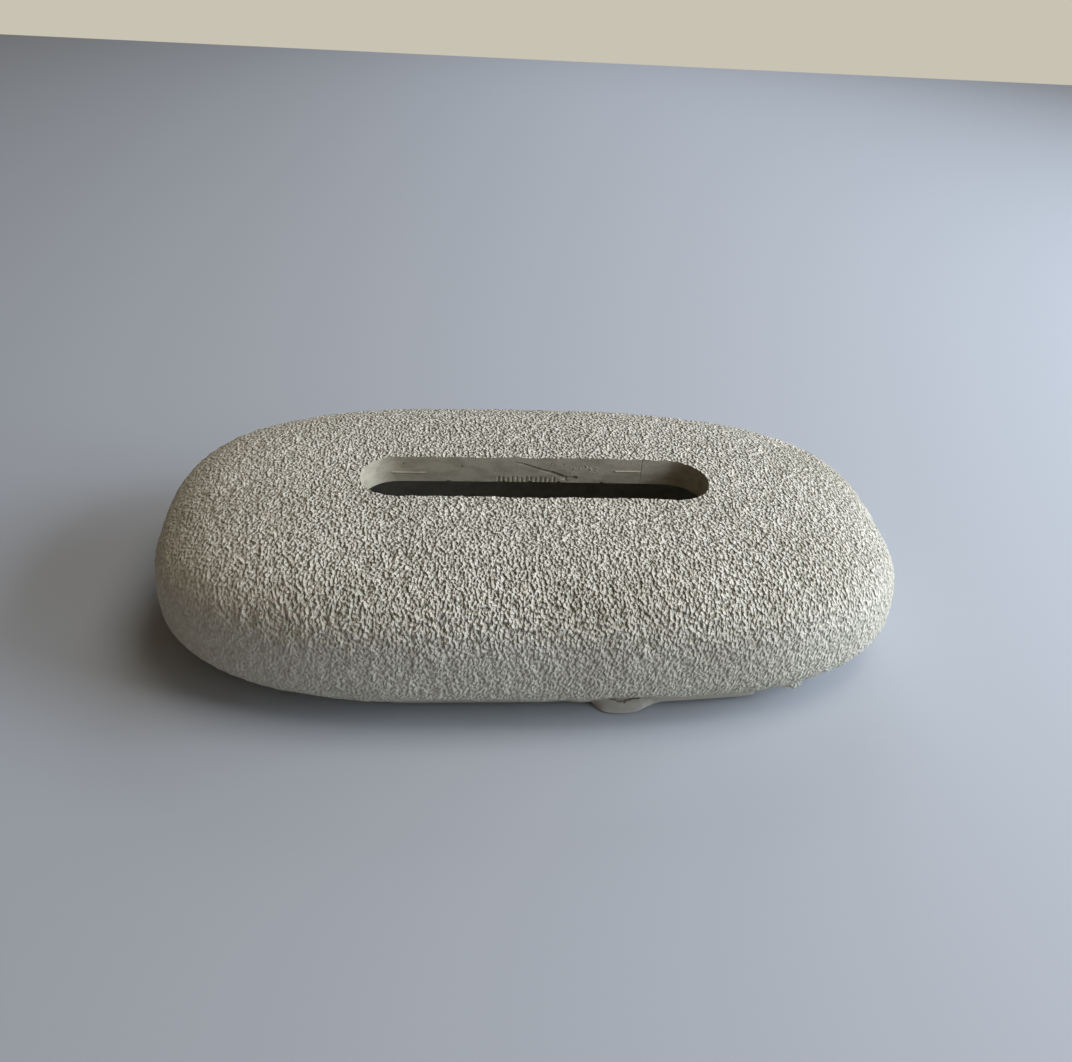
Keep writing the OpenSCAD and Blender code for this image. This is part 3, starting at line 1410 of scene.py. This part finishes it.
@dataclass
class CastShell:
    """The cast shell: stippled pebble, slot, hollow, ledge, seat and bosses."""

    sizes: BoxSizes
    outer_steps: tuple[int, int, int] = (250, 138, 60)
    inner_steps: tuple[int, int, int] = (48, 28, 18)
    foot_inset: float = 2 * MM
    still_height: float = 0.1 * MM
    moved_height: float = 1.5 * MM

    def build(self) -> Piece:
        """Makes the shell and dresses it.

        Returns:
            The finished shell.
        """
        lip = FrontLip(self.sizes)
        shell = self.skin(lip)
        self.heave(shell)
        flash = MouldFlash(self.sizes, lip)
        join(shell, flash.build(), Join.ADD)
        join(shell, [self.hollow(), *flash.crack_tools()], Join.CUT)
        soften(shell)
        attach(shell, "cover")
        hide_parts("cast_shell")
        return shell

    def skin(self, lip: FrontLip) -> Piece:
        """Makes the pebble as a closed solid with a flat underside.

        Args:
            lip: The lip along its front.

        Returns:
            The solid.
        """
        shell = piece_from(grid_box(self.outer_steps), "stone_shell", [STIPPLED, SMOOTH])
        set_places(shell, lip.shape(self.sizes.skin.wrap(get_places(shell))))
        with reshaped(shell) as shape:
            inner, under = grow(shape)
            for vert in inner:
                out = Vector((vert.co.x - self.sizes.rim.widest_x, vert.co.y, 0))
                vert.co -= out.normalized() * self.foot_inset
                vert.co.z = self.sizes.rim_z
            for face in under + close_rim(shape):
                face.material_index = 1
            turn_outwards(shape)
        return shell

    def heave(self, shell: Piece) -> None:
        """Raises the coarse lumps and the slow waves in the skin, and keeps the
        rim's own edge where it is.

        Args:
            shell: The closed pebble.
        """
        tree = bpy.data.node_groups.new("heave", "GeometryNodeTree")
        for way in ("INPUT", "OUTPUT"):
            tree.interface.new_socket("Geometry", in_out=way,
                                      socket_type="NodeSocketGeometry")
        place = add(tree, Kind.POSITION)
        apart = add(tree, Kind.SPLIT, place)
        above_rim = add(tree, Kind.RANGE, apart.outputs[2],
                        self.sizes.rim_z + self.still_height,
                        self.sizes.rim_z + self.moved_height, **EASED)
        rise = add(tree, Kind.MATH, RELIEF.heave(tree, place), above_rim,
                   operation="MULTIPLY")
        push = add(tree, Kind.VECTOR, add(tree, Kind.NORMAL), operation="SCALE",
                   Scale=rise)
        moved = add(tree, Kind.MOVE, Geometry=add(tree, Kind.GIVEN), Offset=push)
        add(tree, Kind.RESULT, moved)
        shell.modifiers.new("heave", "NODES").node_group = tree
        settle(shell)

    def hollow(self) -> Piece:
        """Makes everything that is open in the shell as one cutting tool. The
        magnets' bosses are cut out of the tool, so they stay in the shell.

        Returns:
            The tool.
        """
        sizes = self.sizes
        magnets = [sizes.middle_of(f"shell_magnet_{corner.value}") for corner in Corner]
        cavity = self.cavity()
        bosses = [disc(sizes.boss_radius, sizes.ledge_z - 2 * sizes.overrun,
                       sizes.pocket_top + sizes.boss_wall, middle, "boss", SMOOTH,
                       bevel=sizes.boss_bevel) for middle in magnets]
        join(cavity, bosses, Join.CUT)
        seat = prism(sizes.seat, sizes.rim_z - 2 * sizes.overrun, sizes.ledge_z, "seat",
                     SMOOTH)
        pockets = [disc(sizes.pocket_radius, sizes.ledge_z - sizes.overrun,
                        sizes.pocket_top, middle, "pocket", SMOOTH, sides=48)
                   for middle in magnets]
        join(cavity, [seat, *pockets, SlotHollow(sizes).build()], Join.ADD)
        return cavity

    def cavity(self) -> Piece:
        """Makes the space for the tissues, down to just below the ledge.

        Returns:
            The space as a solid.
        """
        sizes = self.sizes
        outline = sizes.outline.inset(sizes.side_wall)
        share = (sizes.seat.half_depth - sizes.ledge_width) / outline.half_depth
        power = sizes.skin.belly_power
        belly = (sizes.widest_z - sizes.ledge_z) / (1 - share ** power) ** (1 / power)
        skin = PebbleSkin(outline, sizes.widest_z, sizes.crown_height - sizes.top_wall,
                          belly, sizes.ledge_z)
        # The hollow takes the palest cement, painted light on its shaded inside.
        cavity = piece_from(grid_box(self.inner_steps), "cavity", [LIT_INSIDE])
        set_places(cavity, skin.wrap(get_places(cavity)))
        with reshaped(cavity) as shape:
            lowered, _ = grow(shape)
            bmesh.ops.translate(shape, verts=lowered, vec=(0, 0, -sizes.overrun))
            close_rim(shape)
            turn_outwards(shape)
        return cavity


@dataclass
class BaseBoard:
    """The board that closes the underside, with its finger hole and pockets."""

    sizes: BoxSizes
    edge: float = 0.5 * MM

    def build(self) -> Piece:
        """Makes the board and dresses it.

        Returns:
            The finished board.
        """
        sizes = self.sizes
        board = prism(sizes.board, sizes.rim_z, sizes.ledge_z, "black_base_board", BOARD)
        with reshaped(board) as shape:
            round_rims(shape, self.edge, segments=2)
        join(board, self.holes(), Join.CUT)
        soften(board, angle=30)
        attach(board, "base")
        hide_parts("base_board")
        return board

    def holes(self) -> list[Piece]:
        """Makes the tools of the finger hole, the pockets and the recesses.

        Returns:
            The tools.
        """
        sizes = self.sizes
        under, over = sizes.rim_z - sizes.overrun, sizes.ledge_z + sizes.overrun
        tools = [disc(sizes.finger_hole / 2, under, over, Vector(), "finger_hole", BOARD,
                      sides=96)]
        for corner in Corner:
            magnet, foot = f"board_magnet_{corner.value}", f"foot_{corner.value}"
            magnet_low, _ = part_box(magnet)
            tools.append(disc(sizes.pocket_radius, magnet_low[2], over,
                              sizes.middle_of(magnet), "pocket", BOARD, sides=48))
            foot_low, foot_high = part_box(foot)
            radius = (foot_high[0] - foot_low[0]) / 2 + sizes.foot_gap
            tools.append(disc(radius, under, foot_high[2], sizes.middle_of(foot),
                              "recess", BOARD))
        return tools


@dataclass
class RoundPieces:
    """The disc magnets and the stick-on feet, which are all short round solids."""

    sizes: BoxSizes
    magnet_bevel: float = 0.35 * MM
    foot_bevel: float = 0.6 * MM

    def build(self) -> list[Piece]:
        """Makes every magnet and foot and dresses them.

        Returns:
            The finished pieces.
        """
        kinds = (("shell_magnet", "cover", "magnet", NICKEL, self.magnet_bevel),
                 ("board_magnet", "base", "magnet", NICKEL, self.magnet_bevel),
                 ("foot", "base", "foot_rubber", RUBBER, self.foot_bevel))
        return [self.round_piece(f"{kind}_{corner.value}", *rest)
                for corner in Corner for kind, *rest in kinds]

    def round_piece(self, node: str, body: str, slot: str, finish: Finish,
                    bevel: float) -> Piece:
        """Makes one round piece in the place of its node.

        Args:
            node: The node that it stands for.
            body: The body that it rides on.
            slot: Not used.
            finish: Its finish.
            bevel: The width of its bevelled edges.

        Returns:
            The piece.
        """
        low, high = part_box(node)
        piece = disc((high[0] - low[0]) / 2, low[2], high[2],
                     self.sizes.middle_of(node), f"{node}_piece", finish, bevel,
                     sides=72)
        soften(piece, angle=50)
        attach(piece, body)
        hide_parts(node)
        return piece


@dataclass(frozen=True)
class Lamp:
    """A flat soft lamp that faces the box."""

    name: str
    place: Triple
    watts: float
    colour: str
    size: float = 0.6

    def build(self) -> None:
        """Makes the lamp."""
        data = bpy.data.lights.new(self.name, "AREA")
        data.shape = "RECTANGLE"
        data.size = data.size_y = self.size
        data.energy = self.watts
        data.color = linear(self.colour)[:3]
        lamp = bpy.data.objects.new(self.name, data)
        lamp.location = self.place
        lamp.rotation_mode = "QUATERNION"
        lamp.rotation_quaternion = (-Vector(self.place)).to_track_quat("-Z", "Y")
        bpy.context.scene.collection.objects.link(lamp)


@dataclass
class Studio:
    """The floor, the lamps and the camera.

    The camera's angles, in degrees, and its distance were fitted to the outline in
    the photograph. A window on the right lights the box, as there, and weaker
    lamps fill in the other sides.
    """

    azimuth: float = -6.37
    elevation: float = 34.82
    roll: float = 4.07
    distance: float = 405.43 * MM
    target: Triple = (2.11 * MM, 0.0, 31.34 * MM)
    lens: float = 36.0
    sensor: float = 36.0
    floor_size: float = 2.0
    world_colour: str = "FFE1BA"
    world_strength: float = 0.1
    wall_colour: str = "C9C3B4"
    lamps: tuple[Lamp, ...] = (
        Lamp("window", (1.07, -0.19, 0.51), 13.6, "E6F1FF"),
        Lamp("window_back", (1.07, 0.19, 0.51), 5.4, "E6F1FF"),
        Lamp("front_side", (0.91, -0.71, 0.31), 3.0, "E6F1FF"),
        Lamp("behind", (0.27, 1.0, 0.6), 3.0, "E6F1FF"),
        Lamp("overhead", (0.4, 0.0, 1.13), 4.1, "FFF7EC"))

    def build(self) -> None:
        """Makes the whole studio."""
        self.floor()
        for lamp in self.lamps:
            lamp.build()
        self.camera()
        self.world()
        bpy.context.scene.view_settings.view_transform = "Standard"

    def world(self) -> None:
        """Makes the world: a dim warm light, and a pale wall where it is seen."""
        world = bpy.data.worlds.new("studio")
        world.use_nodes = True
        tree = world.node_tree
        tree.nodes.remove(tree.nodes["Background"])
        sky = add(tree, Kind.BACKGROUND, Color=self.world_colour,
                  Strength=self.world_strength)
        wall = add(tree, Kind.BACKGROUND, Color=self.wall_colour, Strength=1.0)
        rays = add(tree, Kind.RAYS)
        seen = add(tree, Kind.MATH, rays.outputs["Is Camera Ray"],
                   rays.outputs["Is Glossy Ray"], operation="MAXIMUM")
        both = add(tree, Kind.MIX_SHADER, seen, sky, wall)
        plug(tree, tree.nodes["World Output"].inputs["Surface"], both)
        bpy.context.scene.world = world

    def floor(self) -> None:
        """Makes the paper that the box stands on."""
        shape = bmesh.new()
        bmesh.ops.create_grid(shape, x_segments=2, y_segments=2,
                              size=self.floor_size / 2)
        floor = piece_from(shape, "paper_floor", [PAPER])

    def camera(self) -> None:
        """Makes the camera at the photograph's viewing angle."""
        turn, rise = math.radians(self.azimuth), math.radians(self.elevation)
        back = Vector((math.sin(turn) * math.cos(rise),
                       -math.cos(turn) * math.cos(rise), math.sin(rise)))
        right = Vector((math.cos(turn), math.sin(turn), 0))
        up = back.cross(right)
        lean = math.radians(self.roll)
        right, up = (right * math.cos(lean) + up * math.sin(lean),
                     up * math.cos(lean) - right * math.sin(lean))
        data = bpy.data.cameras.new("camera")
        data.lens = self.lens
        data.sensor_width = self.sensor
        data.clip_start = 10 * MM
        camera = bpy.data.objects.new("camera", data)
        camera.rotation_mode = "QUATERNION"
        facing = Matrix((right, up, back)).transposed()
        camera.rotation_quaternion = facing.to_quaternion()
        camera.location = Vector(self.target) + back * self.distance
        bpy.context.scene.collection.objects.link(camera)
        bpy.context.scene.camera = camera


def main() -> None:
    """Builds the box piece by piece, then the studio round it."""
    sizes = BoxSizes()
    built = [CastShell(sizes).build(), BaseBoard(sizes).build(),
             *RoundPieces(sizes).build()]
    for piece in built:
        LOG.info("%s: %d faces, %d points", piece.name, len(piece.data.polygons),
                 len(piece.data.vertices))
    Studio().build()


if __name__ == "__main__":
    main()
